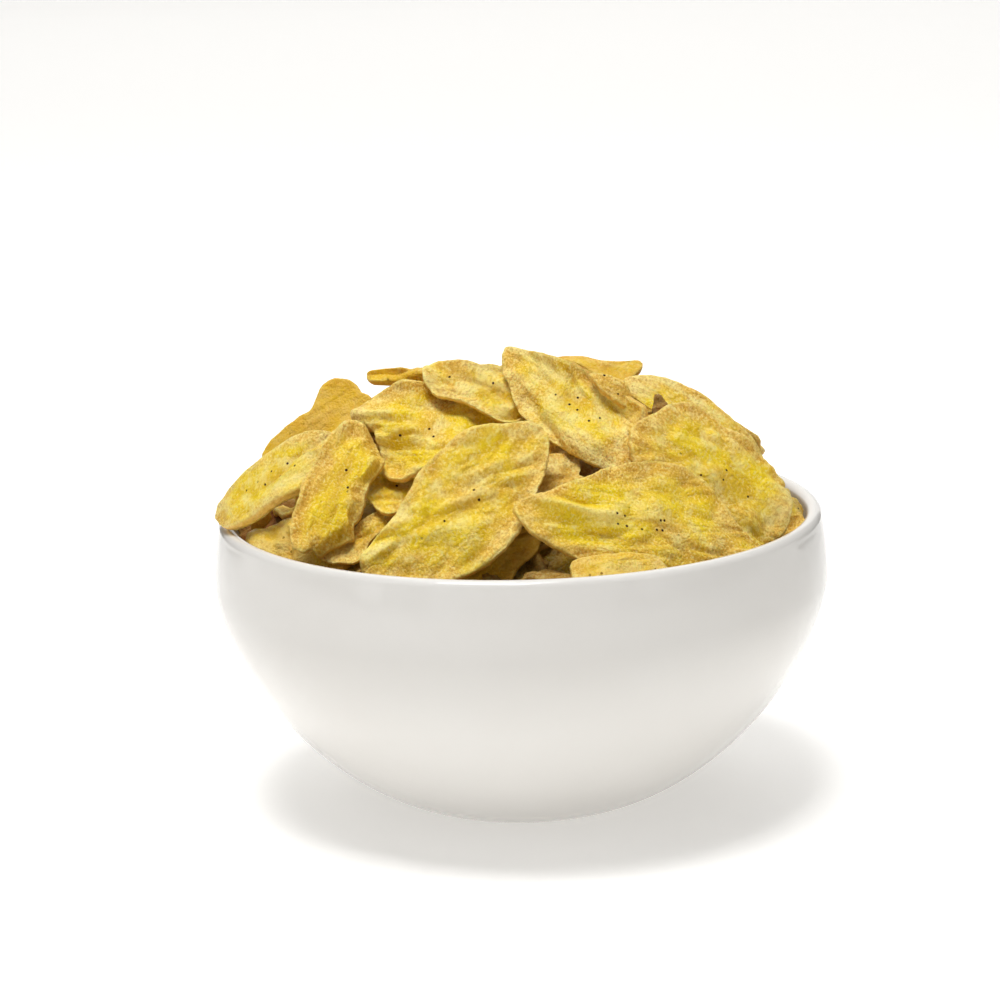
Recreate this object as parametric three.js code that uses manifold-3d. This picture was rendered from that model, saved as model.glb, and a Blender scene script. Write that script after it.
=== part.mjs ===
// A round white bowl heaped with long, wavy slices of fried banana.
//
// Millimetres, +Z up. The origin is the middle of the foot, on the surface that the bowl stands on, and -Y is
// the side that faces the viewer. The food is one solid: a mound that fills the bowl, with every slice that
// shows on its outside standing out of it.
import * as THREE from "three";
import { mergeVertices } from "three/addons/utils/BufferGeometryUtils.js";
import Module from "manifold-3d";

const wasm = await Module();
wasm.setup();

// ---------------------------------------------------------------- driving sizes

const SEGMENTS = 60; // facets round the bowl
const FOOD_SEGMENTS = SEGMENTS / 2; // facets round the mound of food

const BELLY_RADIUS = 75; // the bowl at its widest
const BELLY_HEIGHT = 55.5;
const ROUNDNESS = 1.57; // exponent of the wall's curve from the foot to the belly
const FOOT_RADIUS = 24;
const FOOT_RING = 3; // width of the ring that the bowl stands on
const FOOT_HOLLOW = 1.4; // depth of the hollow inside that ring
const WALL = 4.6;
const FLOOR = 6.5;
const FLOOR_RADIUS = 20; // flat middle of the inside
const LIP_RADIUS = 1.85; // the rim is a half-round bead
const LIP_CENTRE = 71.65; // distance of the bead's middle from the axis
const LIP_HEIGHT = 70.5;

const GAP = 0.35; // between the food and the glaze
const HEAP_RADIUS = 70;
const HEAP_TOP = 108; // outer face of the mound of slices at its middle
const MOUND_INSET = 8; // the slices stand this far out of the mound
const HEADROOM = 130; // higher than anything in the bowl
const ROOM_RADIUS = 79; // food may lie on the rim, out to here
const DOME_SHAPE = 2.2; // exponents of the heap's outer face: a flat top that falls away to the rim
const DOME_FALL = 0.7;

const SLICE_THICKNESS = 2.4;
const SLICE_BOW = 2; // how far the middle of a slice stands proud of its two tips
const SLICE_POINTS = 12; // corners round a slice
const TIP_SHAPE = 2.2; // exponents of a slice's outline: higher is blunter
const SIDE_SHAPE = 0.6;
const CROWN_SHARE = 0.55; // inner ring of corners on the outer face of a slice

// A slice on the far side: its usual length, width and height over the heap's outer face, and how far chance
// takes each measure either way.
const USUAL = { lift: -3, length: 46, width: 25 };
const SPREAD = { azimuth: 5, radius: 3, lift: 1.2, heading: 55, tip: 14, length: 7, width: 3 };

// The far side of the heap, in rings from the rim up: [slices, distance from the axis, first and last azimuth].
const RINGS = [
  { count: 8, radius: 54, first: 12, last: 184 },
  { count: 6, radius: 40, first: 24, last: 170 },
  { count: 3, radius: 20, first: 40, last: 150 },
];

const GLAZE = new THREE.MeshStandardMaterial({ name: "white_glaze", color: "#e9e7e4", roughness: 0.12 });
const BANANA = new THREE.MeshStandardMaterial({ name: "fried_banana", color: "#d9b849", roughness: 0.55 });

// ---------------------------------------------------------------- solids

const degrees = THREE.MathUtils.degToRad;
const UP = new THREE.Vector3(0, 0, 1);

// The closed solid of a geometry, for joining and cutting.
function solidOf(geometry) {
  geometry.deleteAttribute("normal");
  geometry.deleteAttribute("uv");
  const merged = mergeVertices(geometry, 1e-4);
  const vertProperties = merged.attributes.position.array;
  const triVerts = new Uint32Array(merged.index.array);
  return new wasm.Manifold(new wasm.Mesh({ numProp: 3, vertProperties, triVerts }));
}

function geometryOf(solid) {
  const mesh = solid.getMesh();
  const geometry = new THREE.BufferGeometry();
  geometry.setAttribute("position", new THREE.BufferAttribute(mesh.vertProperties, 3));
  geometry.setIndex(new THREE.BufferAttribute(mesh.triVerts, 1));
  geometry.computeVertexNormals();
  return geometry;
}

// A profile of [radius, height] points turned about +Z.
function turned(profile, segments) {
  const points = profile.map(([radius, height]) => new THREE.Vector2(Math.max(radius, 0), height));
  return new THREE.LatheGeometry(points, segments).rotateX(Math.PI / 2);
}

const steps = (count, make) => Array.from({ length: count + 1 }, (_, i) => make(i / count));

// ---------------------------------------------------------------- bowl

// The curve of a wall from its flat middle (radius, height) out to the belly.
function wallCurve(middle, low, belly, count) {
  return steps(count, (t) => {
    const angle = (t * Math.PI) / 2;
    const out = Math.pow(Math.sin(angle), 2 / ROUNDNESS);
    const up = 1 - Math.pow(Math.cos(angle), 2 / ROUNDNESS);
    return [middle + (belly - middle) * out, low + (BELLY_HEIGHT - low) * up];
  });
}

// Above the belly the wall leans in towards the rim.
function tuckedCurve(belly, rim, count) {
  const rise = LIP_HEIGHT - BELLY_HEIGHT;
  return steps(count, (t) => [belly + (rim - belly) * t * t, BELLY_HEIGHT + rise * t]).slice(1);
}

function lipArc(radius, from, to, count) {
  return steps(count, (t) => {
    const angle = degrees(from + (to - from) * t);
    return [LIP_CENTRE + radius * Math.cos(angle), LIP_HEIGHT + radius * Math.sin(angle)];
  });
}

// The inside of the bowl from the floor up to the rim, moved into the bowl by a gap.
function insideCurve(gap, count) {
  const belly = BELLY_RADIUS - WALL - gap;
  const wall = wallCurve(FLOOR_RADIUS, FLOOR + gap, belly, count);
  return [...wall, ...tuckedCurve(belly, LIP_CENTRE - LIP_RADIUS - gap, 3).slice(0, -1)];
}

function bowl() {
  const outer = wallCurve(FOOT_RADIUS, 0, BELLY_RADIUS, 10);
  const profile = [
    [0, FOOT_HOLLOW],
    [FOOT_RADIUS - FOOT_RING - FOOT_HOLLOW, FOOT_HOLLOW],
    [FOOT_RADIUS - FOOT_RING, 0],
    ...outer,
    ...tuckedCurve(BELLY_RADIUS, LIP_CENTRE + LIP_RADIUS, 3).slice(0, -1),
    ...lipArc(LIP_RADIUS, 0, 180, 6),
    ...insideCurve(0, 8).reverse(),
    [0, FLOOR],
  ];
  return turned(profile, SEGMENTS);
}

// All the space that food may take: inside the walls, and over the rim.
function roomForFood() {
  const crest = lipArc(LIP_RADIUS + GAP, 180, 90, 3);
  const profile = [
    [0, FLOOR + GAP],
    ...insideCurve(GAP, 4),
    ...crest,
    [ROOM_RADIUS, LIP_HEIGHT + LIP_RADIUS + GAP],
    [ROOM_RADIUS, HEADROOM],
    [0, HEADROOM],
  ];
  return solidOf(turned(profile, FOOD_SEGMENTS));
}

// ---------------------------------------------------------------- banana slices

// Height of the heap's outer face at a distance from the axis.
function heapHeight(radius) {
  const share = Math.max(0, 1 - Math.pow(radius / HEAP_RADIUS, DOME_SHAPE));
  const rim = LIP_HEIGHT + LIP_RADIUS;
  return rim + (HEAP_TOP - rim) * Math.pow(share, DOME_FALL);
}

// A slice's own axes: along it, across it, and out of its face. With no lean it lies as level as its two tips
// allow, and a positive lean turns its face towards the viewer if it runs from left to right.
function sliceAxes(slice) {
  const along = slice.to.clone().sub(slice.from).normalize();
  const level = UP.clone().cross(along).normalize();
  const across = level.applyAxisAngle(along, degrees(slice.lean));
  return { along, across, out: along.clone().cross(across) };
}

// Half the width of a slice at u, which runs from -1 at one tip to 1 at the other.
function halfWidth(slice, u) {
  return (slice.width / 2) * Math.pow(Math.max(0, 1 - Math.pow(Math.abs(u), TIP_SHAPE)), SIDE_SHAPE);
}

// One slice as a closed plate that is bowed along its length: a fan and a band on its outer face, a band round
// its edge, and a plain fan on the inner face.
function sliceSolid(slice) {
  const { along, across, out } = sliceAxes(slice);
  const middle = slice.from.clone().add(slice.to).multiplyScalar(0.5);
  const length = slice.from.distanceTo(slice.to);
  const positions = [];
  const corner = (share, i, side) => {
    const angle = (i / SLICE_POINTS) * 2 * Math.PI;
    const u = Math.cos(angle);
    const half = halfWidth(slice, u) * Math.sign(Math.sin(angle) + 1e-12);
    const bow = SLICE_BOW * (1 - share * share * u * u);
    positions.push(
      ...middle
        .clone()
        .addScaledVector(along, (share * u * length) / 2)
        .addScaledVector(across, share * half)
        .addScaledVector(out, bow + (side * SLICE_THICKNESS) / 2)
        .toArray(),
    );
  };
  const rings = [
    [CROWN_SHARE, 1],
    [1, 1],
    [1, -1],
  ];
  corner(0, 0, 1);
  for (const [share, side] of rings) {
    for (let i = 0; i < SLICE_POINTS; i++) corner(share, i, side);
  }
  corner(0, 0, -1);
  const index = [];
  const last = 1 + rings.length * SLICE_POINTS;
  for (let i = 0; i < SLICE_POINTS; i++) {
    const j = (i + 1) % SLICE_POINTS;
    index.push(0, 1 + i, 1 + j);
    for (let start = 1; start + SLICE_POINTS < last; start += SLICE_POINTS) {
      const next = start + SLICE_POINTS;
      index.push(start + i, next + i, next + j);
      index.push(start + i, next + j, start + j);
    }
    index.push(last, last - SLICE_POINTS + j, last - SLICE_POINTS + i);
  }
  const geometry = new THREE.BufferGeometry();
  geometry.setAttribute("position", new THREE.Float32BufferAttribute(positions, 3));
  geometry.setIndex(index);
  return solidOf(geometry);
}

// The slices that show from the front, each from its left tip to its right tip.
const at = (x, y, z) => new THREE.Vector3(x, y, z);
const FRONT_SLICES = [
  { from: at(11, -64, 70), to: at(33, -59, 70), width: 13, lean: 42 },
  { from: at(0, -57, 85), to: at(56, -39, 71), width: 30, lean: 58 },
  { from: at(26, -32, 97), to: at(63, -25, 73), width: 30, lean: 52 },
  { from: at(-49, -44, 72), to: at(-36, -27, 99), width: 16, lean: 28 },
  { from: at(-35, -56, 70), to: at(8, -43, 97), width: 29, lean: 60 },
  { from: at(17, -18, 108), to: at(32, -20, 98), width: 10, lean: 50 },
  { from: at(-2, -8, 112), to: at(29, -33, 89), width: 21, lean: 56 },
  { from: at(-21, -12, 110), to: at(6, -18, 99), width: 16, lean: 52 },
  { from: at(-72, -15, 74), to: at(-40, -30, 94), width: 18, lean: 48 },
  { from: at(-39, -21, 98), to: at(-4, -22, 93), width: 27, lean: 52 },
  { from: at(-8, -46, 86), to: at(16, -34, 88), width: 22, lean: 56 },
  { from: at(-4, -62, 67), to: at(20, -58, 66), width: 11, lean: 45 },
  { from: at(-28, -53, 70), to: at(7, -43, 81), width: 23, lean: 58 },
  { from: at(-36, -30, 84), to: at(-14, -33, 85), width: 16, lean: 50 },
  { from: at(-46, -41, 70), to: at(-27, -35, 78), width: 10, lean: 58 },
  { from: at(-64, -21, 72), to: at(-40, -40, 69), width: 11, lean: 52 },
  { from: at(-70, 0, 64), to: at(-44, -16, 73), width: 24, lean: 30 },
  { from: at(51, -29, 69), to: at(69, -5, 71), width: 15, lean: 40 },
  { from: at(25, -10, 103), to: at(64, -10, 72), width: 22, lean: 36 },
  { from: at(-36, -4, 105), to: at(-9, -7, 105), width: 16, lean: 14 },
  { from: at(-61, -8, 87), to: at(-34, -13, 102), width: 18, lean: 58 },
  { from: at(8, -2, 105), to: at(31, 2, 102), width: 16, lean: 10 },
];

// A repeatable number from -1 to 1 that stands in for chance.
function wobble(index, salt) {
  const wave = Math.sin(index * 12.9898 + salt * 78.233) * 43758.5453;
  return 2 * (wave - Math.floor(wave)) - 1;
}

// A slice that lies on the heap: turned by heading out of the level line round the heap, and tipped out of it.
function sliceOnHeap({ azimuth, radius, lift, heading, tip, length, width }) {
  const outward = at(Math.cos(degrees(azimuth)), Math.sin(degrees(azimuth)), 0);
  const rise = heapHeight(radius + 0.5) - heapHeight(radius - 0.5);
  const downhill = outward.clone().setZ(rise).normalize();
  const round = UP.clone().cross(outward);
  const out = downhill.clone().cross(round);
  const along = round.clone().applyAxisAngle(out, degrees(heading));
  const middle = outward.clone().multiplyScalar(radius).setZ(heapHeight(radius) + lift);
  const slice = {
    from: middle.clone().addScaledVector(along, -length / 2),
    to: middle.clone().addScaledVector(along, length / 2),
    width,
  };
  const flat = sliceAxes({ ...slice, lean: 0 });
  slice.lean = THREE.MathUtils.radToDeg(Math.atan2(-out.dot(flat.across), out.dot(flat.out))) + tip;
  return slice;
}

function farSlices() {
  return RINGS.flatMap(({ count, radius, first, last }, ring) =>
    steps(count - 1, (t) => {
      const seed = Math.round(t * (count - 1)) + 20 * ring;
      return sliceOnHeap({
        azimuth: first + (last - first) * t + SPREAD.azimuth * wobble(seed, 1),
        radius: radius + SPREAD.radius * wobble(seed, 2),
        lift: USUAL.lift + SPREAD.lift * wobble(seed, 3),
        heading: SPREAD.heading * wobble(seed, 4),
        tip: SPREAD.tip * wobble(seed, 5),
        length: USUAL.length + SPREAD.length * wobble(seed, 6),
        width: USUAL.width + SPREAD.width * wobble(seed, 7),
      });
    }),
  );
}

// The mound under the slices, a little lower than the heap's outer face.
function mound() {
  const profile = [
    [0, 0],
    [HEAP_RADIUS, 0],
    ...steps(6, (t) => {
      const radius = HEAP_RADIUS * Math.sqrt(1 - t);
      return [radius, heapHeight(radius) - MOUND_INSET];
    }),
  ];
  return solidOf(turned(profile, FOOD_SEGMENTS));
}

function heapOfSlices() {
  let heap = mound();
  for (const slice of [...FRONT_SLICES, ...farSlices()]) heap = heap.add(sliceSolid(slice));
  return geometryOf(heap.intersect(roomForFood()));
}

// ---------------------------------------------------------------- the whole

function named(name, geometry, material) {
  const mesh = new THREE.Mesh(geometry, material);
  mesh.name = name;
  return mesh;
}

const bowlOfBananaChips = new THREE.Group();
bowlOfBananaChips.add(named("bowl", bowl(), GLAZE));
bowlOfBananaChips.add(named("banana_chips", heapOfSlices(), BANANA));

export default bowlOfBananaChips;
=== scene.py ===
"""A round white bowl heaped with long, wavy slices of fried banana, cut on the bias.

Metres, +Z up. The origin is the middle of the bowl's foot, and -Y is the side that faces the camera.
"""
import math

import bmesh
import bpy
import numpy as np
from mathutils import Matrix, Vector
from mathutils.bvhtree import BVHTree


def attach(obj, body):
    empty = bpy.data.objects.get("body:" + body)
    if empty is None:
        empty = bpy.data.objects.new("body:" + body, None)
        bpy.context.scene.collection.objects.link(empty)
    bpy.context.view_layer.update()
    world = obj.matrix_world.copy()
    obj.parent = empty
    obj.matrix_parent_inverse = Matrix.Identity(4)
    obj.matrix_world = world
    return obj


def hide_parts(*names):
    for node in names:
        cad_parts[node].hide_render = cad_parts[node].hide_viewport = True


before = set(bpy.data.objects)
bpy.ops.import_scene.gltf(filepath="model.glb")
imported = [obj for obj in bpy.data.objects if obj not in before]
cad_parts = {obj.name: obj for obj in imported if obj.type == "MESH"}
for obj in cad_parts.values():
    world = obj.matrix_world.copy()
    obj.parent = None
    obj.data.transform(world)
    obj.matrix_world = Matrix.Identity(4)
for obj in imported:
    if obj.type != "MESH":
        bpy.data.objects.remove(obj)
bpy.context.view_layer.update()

MM = 0.001

# ---------------------------------------------------------------- the photograph's view

IMAGE_SIZE = 1000  # pixels across, and down
SENSOR = 36.0
LENS = 101.8
CAMERA_DISTANCE = 0.700
CAMERA_ELEVATION = math.radians(15.7)
CAMERA_ROLL = math.radians(1.3)  # the bowl's rim runs uphill to the right
TARGET = Vector((0, 0, 0.040))
TARGET_PIXEL = (522.5, 633.5)  # where the target shows, from the image's left and top


def camera():
    data = bpy.data.cameras.new("photo_camera")
    data.lens = LENS
    data.sensor_width = SENSOR
    data.clip_start = 0.01
    view = bpy.data.objects.new("photo_camera", data)
    bpy.context.collection.objects.link(view)
    focal = LENS / SENSOR * IMAGE_SIZE
    left = math.atan((TARGET_PIXEL[0] - IMAGE_SIZE / 2) / focal)
    up = math.atan((TARGET_PIXEL[1] - IMAGE_SIZE / 2) / focal)
    tilt = Matrix.Rotation(math.pi / 2 - CAMERA_ELEVATION, 4, "X")
    roll = Matrix.Rotation(-CAMERA_ROLL, 4, "Z")
    aim = tilt @ roll @ Matrix.Rotation(up, 4, "X") @ Matrix.Rotation(left, 4, "Y")
    back = tilt @ Vector((0, 0, CAMERA_DISTANCE))
    view.matrix_world = Matrix.Translation(TARGET + back) @ aim
    bpy.context.scene.camera = view


# ---------------------------------------------------------------- small tools

MATH = "ShaderNodeMath"
VECTOR = "ShaderNodeVectorMath"
NOISE = "ShaderNodeTexNoise"
RANGE = "ShaderNodeMapRange"
COMBINE = "ShaderNodeCombineXYZ"
MIX = "ShaderNodeMix"
BUMP = "ShaderNodeBump"
ATTRIBUTE = "ShaderNodeAttribute"


def linear(hex_colour):
    """An sRGB hex colour as linear RGBA."""
    channels = [int(hex_colour[i : i + 2], 16) / 255 for i in (1, 3, 5)]
    return [c / 12.92 if c <= 0.04045 else ((c + 0.055) / 1.055) ** 2.4 for c in channels] + [1.0]


def add(tree, kind, *values, named=None, **settings):
    """Adds a node with its settings. A value is a plain value, a socket, or a node for its first output."""
    node = tree.nodes.new(kind)
    for name, value in settings.items():
        setattr(node, name, value)
    sockets = list(zip([s for s in node.inputs if s.enabled], values))
    sockets += [(node.inputs[name], value) for name, value in (named or {}).items()]
    for socket, value in sockets:
        if isinstance(value, bpy.types.Node):
            value = next(s for s in value.outputs if s.enabled)
        if isinstance(value, bpy.types.NodeSocket):
            tree.links.new(value, socket)
        elif value is not None:
            socket.default_value = value
    return node


def feed(tree, source, target, name):
    """Links a node's first output to a named input of another."""
    tree.links.new(next(s for s in source.outputs if s.enabled), target.inputs[name])


def wobble(index, salt):
    """A repeatable number from -1 to 1 that stands in for chance."""
    wave = math.sin(index * 12.9898 + salt * 78.233) * 43758.5453
    return 2 * (wave - math.floor(wave)) - 1


# ---------------------------------------------------------------- materials

BANANA_PALE = "#fae896"  # dry starchy flesh
BANANA_YELLOW = "#f6d51c"  # where the oil has soaked in
BANANA_TAN = "#ecc256"  # towards the rim, fried longest
BANANA_WALL = "#efba4c"  # the cut side wall
BANANA_GOLD_AND_SHADE = "#dfae2e"  # slices that are fried through, and painted shade on slices that stand steep or lie deep
BANANA_OIL_AND_SHADE = "#ca9008"  # creases, where the oil stays, darkened further with painted shade
BANANA_CORE = "#d0a03a"  # round the row of seeds
BANANA_BROWN = "#ab6d0c"  # scorched fibres
BANANA_CHAR_AND_SHADE = "#6e3c06"  # torn ends that are charred, and painted shade on the slices deep in the heap
SEED_BROWN = "#3a1a08"
PATCH_SIZE = 13  # mm: patches where the oil has soaked in
SCORCH_SIZE = 7
CLOUD_SIZE = 4.5  # dry clouds
LUMP_SIZE = 2.6
CRINKLE_SIZE = 6
GRAIN_SIZE = 0.6  # fried starch
SEED_SPACING = 2.6
SEED_ROW = (14, 3.2)  # half the length and width of the row of seeds
GLAZE_WHITE = "#e2e0dc"
GLAZE_THIN = "#dcd9d4"  # where the glaze is thinner and the body shows through
SHADE_BROWN = "#6a3c06"
SHADE_DARK = "#3c1e04"


def surface(name):
    """A new material: its tree, and its shader."""
    material = bpy.data.materials.new(name)
    material.use_nodes = True
    tree = material.node_tree
    tree.nodes.clear()
    shader = add(tree, "ShaderNodeBsdfPrincipled")
    add(tree, "ShaderNodeOutputMaterial", shader)
    return material, tree, shader


def glazed_stoneware():
    """White stoneware under a clear glaze: a hard shine over an even white body, on a surface that the thick
    glaze leaves very slightly uneven."""
    material, tree, shader = surface("white_glazed_stoneware")
    place = add(tree, "ShaderNodeTexCoord").outputs["Object"]
    pooled = add(tree, NOISE, place, named={"Scale": 1 / (35 * MM), "Detail": 2.0})
    tint = add(tree, MIX, pooled, linear(GLAZE_WHITE), linear(GLAZE_THIN), data_type="RGBA")
    feed(tree, tint, shader, "Base Color")
    uneven = add(tree, NOISE, place, named={"Scale": 1 / (14 * MM), "Detail": 1.0})
    dents = {"Strength": 0.25, "Distance": 0.4 * MM, "Height": uneven.outputs[0]}
    bump = add(tree, BUMP, named=dents)
    feed(tree, bump, shader, "Normal")
    shader.inputs["Roughness"].default_value = 0.09
    shader.inputs["IOR"].default_value = 1.52
    return material


def fried_banana():
    """Banana sliced on the bias and fried crisp: dry granular flesh that the oil has left with a dull shine,
    yellow in the middle in uneven patches, tan and freckled towards the rim, with a few dark seeds."""
    material, tree, shader = surface("fried_banana")
    flat = add(tree, ATTRIBUTE, attribute_name="flat").outputs["Vector"]
    edge = add(tree, ATTRIBUTE, attribute_name="edge").outputs["Fac"]
    wall = add(tree, ATTRIBUTE, attribute_name="wall").outputs["Fac"]
    tone = add(tree, ATTRIBUTE, attribute_name="tone").outputs["Fac"]
    gold_and_shade = add(tree, ATTRIBUTE, attribute_name="gold_and_shade").outputs["Fac"]
    ridge = add(tree, ATTRIBUTE, attribute_name="ridge").outputs["Fac"]
    starchy = add(tree, ATTRIBUTE, attribute_name="dry").outputs["Fac"]
    burnt_and_shaded = add(tree, ATTRIBUTE, attribute_name="scorch_and_shade").outputs["Fac"]
    mm = add(tree, VECTOR, flat, named={"Scale": 1000.0}, operation="SCALE")

    # how far the oil has soaked in: most in the middle, and unevenly
    patches = add(tree, NOISE, mm, named={"Scale": 1 / PATCH_SIZE, "Detail": 3.0, "Roughness": 0.55})
    depth = add(tree, RANGE, edge, 0.0, 7 * MM, -0.1, 0.07, interpolation_type="SMOOTHSTEP")
    soaked = add(tree, MATH, add(tree, MATH, patches, tone, operation="ADD"), depth,
                 operation="ADD")
    yellow = add(tree, RANGE, soaked, 0.36, 0.66, 0.0, 1.0, interpolation_type="SMOOTHSTEP")
    flesh = add(tree, MIX, yellow, linear(BANANA_TAN), linear(BANANA_YELLOW), data_type="RGBA")
    # painted shade darkens the creases and a painted highlight lightens the ridges, over the oil that stays
    # in the creases and the drier ridges
    low = add(tree, RANGE, ridge, 0.0, -0.9, 0.0, 0.4, interpolation_type="SMOOTHSTEP")
    oil_and_shade_in_creases = add(tree, MIX, low, flesh, linear(BANANA_OIL_AND_SHADE), data_type="RGBA")
    high = add(tree, RANGE, ridge, 0.1, 0.9, 0.0, 0.6, interpolation_type="SMOOTHSTEP")
    pale_and_lit_ridges = add(tree, MIX, high, oil_and_shade_in_creases, linear(BANANA_PALE), data_type="RGBA")
    clouds = add(tree, NOISE, mm, named={"Scale": 1 / CLOUD_SIZE, "Detail": 4.0, "Roughness": 0.6})
    drier = add(tree, MATH, clouds, starchy, operation="ADD")
    dry = add(tree, RANGE, drier, 0.46, 0.72, 0.0, 0.75, interpolation_type="SMOOTHSTEP")
    clouded = add(tree, MIX, dry, pale_and_lit_ridges, linear(BANANA_PALE), data_type="RGBA")

    # freckles of fried starch, thickest where the flesh is dry
    grain = add(tree, NOISE, mm, named={"Scale": 1 / GRAIN_SIZE, "Detail": 3.0, "Roughness": 0.65})
    freckle = add(tree, RANGE, grain, 0.46, 0.66, 0.0, 1.0, interpolation_type="SMOOTHSTEP")
    thick = add(tree, RANGE, soaked, 0.36, 0.62, 0.5, 0.22)
    amount = add(tree, MATH, freckle, thick, operation="MULTIPLY")
    freckled = add(tree, MIX, amount, clouded, linear(BANANA_BROWN), data_type="RGBA")
    bright = add(tree, RANGE, grain, 0.32, 0.48, 0.8, 0.0)
    lit = add(tree, MIX, bright, freckled, linear(BANANA_PALE), data_type="RGBA")
    scorch_and_shade = add(tree, NOISE, mm, named={"Scale": 1 / SCORCH_SIZE, "Detail": 3.0, "Roughness": 0.7})
    scorched = add(tree, RANGE, scorch_and_shade, 0.64, 0.74, 0.0, 0.45, interpolation_type="SMOOTHSTEP")
    toasted = add(tree, MIX, scorched, lit, linear(BANANA_BROWN), data_type="RGBA")
    brink = add(tree, RANGE, edge, 0.2 * MM, 1.0 * MM, 0.25, 0.0, interpolation_type="SMOOTHSTEP")
    toasted = add(tree, MIX, brink, toasted, linear(BANANA_PALE), data_type="RGBA")
    side = add(tree, RANGE, wall, 0.1, 0.7, 0.0, 0.65)
    walled = add(tree, MIX, side, toasted, linear(BANANA_WALL), data_type="RGBA")
    # darkens charred torn ends, and puts painted shade on the slices deep in the heap
    char_shade_spread = add(tree, RANGE, scorch_and_shade, 0.3, 0.6, 0.7, 1.0)
    char_and_shade = add(tree, MATH, char_shade_spread, burnt_and_shaded, operation="MULTIPLY")

    # seeds, in a loose row along the middle
    row = add(tree, VECTOR, mm, (1 / SEED_ROW[0], 1 / SEED_ROW[1], 0.0), operation="MULTIPLY")
    off_row = add(tree, VECTOR, row, operation="LENGTH").outputs["Value"]
    core = add(tree, RANGE, off_row, 0.85, 1.0, 1.0, 0.0)
    around = add(tree, MATH, clouds, 2.5, off_row, operation="MULTIPLY_ADD")
    fibrous = add(tree, RANGE, around, 1.3, 2.2, 0.35, 0.0, interpolation_type="SMOOTHSTEP")
    cored = add(tree, MIX, fibrous, walled, linear(BANANA_CORE), data_type="RGBA")
    deep = add(tree, VECTOR, mm, (0.0, 0.0, 1.0), operation="DOT_PRODUCT").outputs["Value"]
    own = add(tree, VECTOR, mm, add(tree, COMBINE, deep, deep), operation="ADD")
    cells = add(tree, "ShaderNodeTexVoronoi", own, named={"Scale": 1 / SEED_SPACING}, voronoi_dimensions="2D")
    chosen = add(tree, RANGE, cells.outputs["Color"], 0.71, 0.72, 0.0, 1.0)
    blot = add(tree, MATH, grain, 0.16, cells.outputs["Distance"], operation="MULTIPLY_ADD")
    dot = add(tree, RANGE, blot, 0.17, 0.22, 1.0, 0.0)
    seed = add(tree, MATH, add(tree, MATH, dot, core, operation="MULTIPLY"), chosen,
               operation="MULTIPLY")
    seeded = add(tree, MIX, seed, cored, linear(SEED_BROWN), data_type="RGBA")
    # golden where a slice is fried through, and darker with painted shade where a slice stands steep or lies
    # deep
    golden_and_shaded = add(tree, MIX, gold_and_shade, seeded, linear(BANANA_GOLD_AND_SHADE), data_type="RGBA")
    darkened = add(tree, MIX, char_and_shade, golden_and_shaded, linear(BANANA_CHAR_AND_SHADE), data_type="RGBA")
    feed(tree, darkened, shader, "Base Color")

    lumps = add(tree, NOISE, mm, named={"Scale": 1 / LUMP_SIZE, "Detail": 3.0})
    lumpy = add(tree, BUMP, named={"Strength": 0.8, "Distance": 1.0 * MM, "Height": lumps.outputs[0]})
    lengthwise = add(tree, VECTOR, mm, (0.4, 1.0, 1.0), operation="MULTIPLY")
    lined = {"Scale": 1 / CRINKLE_SIZE, "Detail": 1.0, "Distortion": 0.9}
    lines = add(tree, NOISE, lengthwise, named=lined)
    crinkle = add(tree, MATH, add(tree, MATH, lines, 0.5, operation="SUBTRACT"),
                  operation="ABSOLUTE")
    crinkled = add(tree, BUMP, named={"Strength": 1.0, "Distance": 1.6 * MM,
                                                  "Height": crinkle.outputs[0], "Normal": lumpy.outputs[0]})
    rough = add(tree, BUMP, named={"Strength": 1.0, "Distance": 0.5 * MM, "Height": grain.outputs[0],
                                               "Normal": crinkled.outputs[0]})
    feed(tree, rough, shader, "Normal")
    gloss = add(tree, RANGE, soaked, 0.35, 0.65, 0.55, 0.36)
    dull = add(tree, MATH, seed, 0.4, gloss, operation="MULTIPLY_ADD")
    feed(tree, dull, shader, "Roughness")
    shader.inputs["IOR"].default_value = 1.45
    shader.inputs["Specular IOR Level"].default_value = 0.25
    shader.inputs["Subsurface Weight"].default_value = 0.2
    shader.inputs["Subsurface Radius"].default_value = (1.0, 0.55, 0.1)
    shader.inputs["Subsurface Scale"].default_value = 2.5 * MM
    return material


def shaded_crumb():
    """The crumbled, oily middle of the heap, seen only as a dark ground between the slices: its dark browns
    are painted shade.
    """
    material, tree, shader = surface("shaded_banana_crumb")
    place = add(tree, "ShaderNodeTexCoord").outputs["Object"]
    crumbs = add(tree, NOISE, place, named={"Scale": 1 / (4 * MM), "Detail": 3.0})
    tint = add(tree, MIX, crumbs, linear(SHADE_DARK), linear(SHADE_BROWN), data_type="RGBA")
    feed(tree, tint, shader, "Base Color")
    bump = add(tree, BUMP, named={"Distance": 1.5 * MM, "Height": crumbs.outputs[0]})
    feed(tree, bump, shader, "Normal")
    shader.inputs["Roughness"].default_value = 1.0
    shader.inputs["Specular IOR Level"].default_value = 0.0
    return material


GLAZE = glazed_stoneware()
BANANA = fried_banana()
SHADE_CRUMB = shaded_crumb()

# ---------------------------------------------------------------- the shape of one slice

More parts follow.
